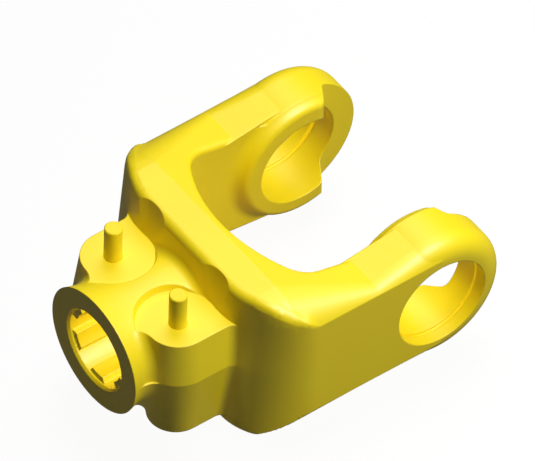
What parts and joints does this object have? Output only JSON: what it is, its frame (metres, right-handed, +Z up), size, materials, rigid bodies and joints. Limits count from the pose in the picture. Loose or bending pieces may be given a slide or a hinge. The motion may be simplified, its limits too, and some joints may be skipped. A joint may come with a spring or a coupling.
{
  "type": "forged yoke",
  "caption": "U-shaped forged yoke for a drive shaft joint, with bored ears, a splined hub and spring-loaded push pins beside the hub.",
  "frame": {"origin": "centre of the joint cross: on the axis of the ear bores, midway between the ears", "axes": "+Y along the ear bores, -X along the hub towards its splined mouth, +Z up, the way the push pins point"},
  "size_m": [0.1581, 0.1186, 0.0741],
  "materials": {
    "yoke_paint": "satin",
    "pin_paint": "satin",
    "spring_steel": "drawn wire",
    "disc_steel": "zinc plated",
    "ring_steel": "phosphated"
  },
  "bodies": {
    "yoke": {"yoke": "yoke_paint", "spring_disc_1": "disc_steel", "spring_disc_2": "disc_steel", "snap_ring_1": "ring_steel", "snap_ring_2": "ring_steel", "pin_spring_1": "spring_steel", "pin_spring_2": "spring_steel"},
    "push_pin_1": {"push_pin_1": "pin_paint"},
    "push_pin_2": {"push_pin_2": "pin_paint"}
  },
  "joints": [
    {"name": "push_pin_1_press", "type": "slide", "parent": "yoke", "child": "push_pin_1", "axis": [0, 0, -1], "range_m": [0, 0.015], "stiffness_N_per_m": 800, "springref_m": -0.008, "deforming": ["pin_spring_1"]},
    {"name": "push_pin_2_press", "type": "slide", "parent": "yoke", "child": "push_pin_2", "axis": [0, 0, -1], "range_m": [0, 0.015], "stiffness_N_per_m": 800, "springref_m": -0.008, "deforming": ["pin_spring_2"]}
  ]
}
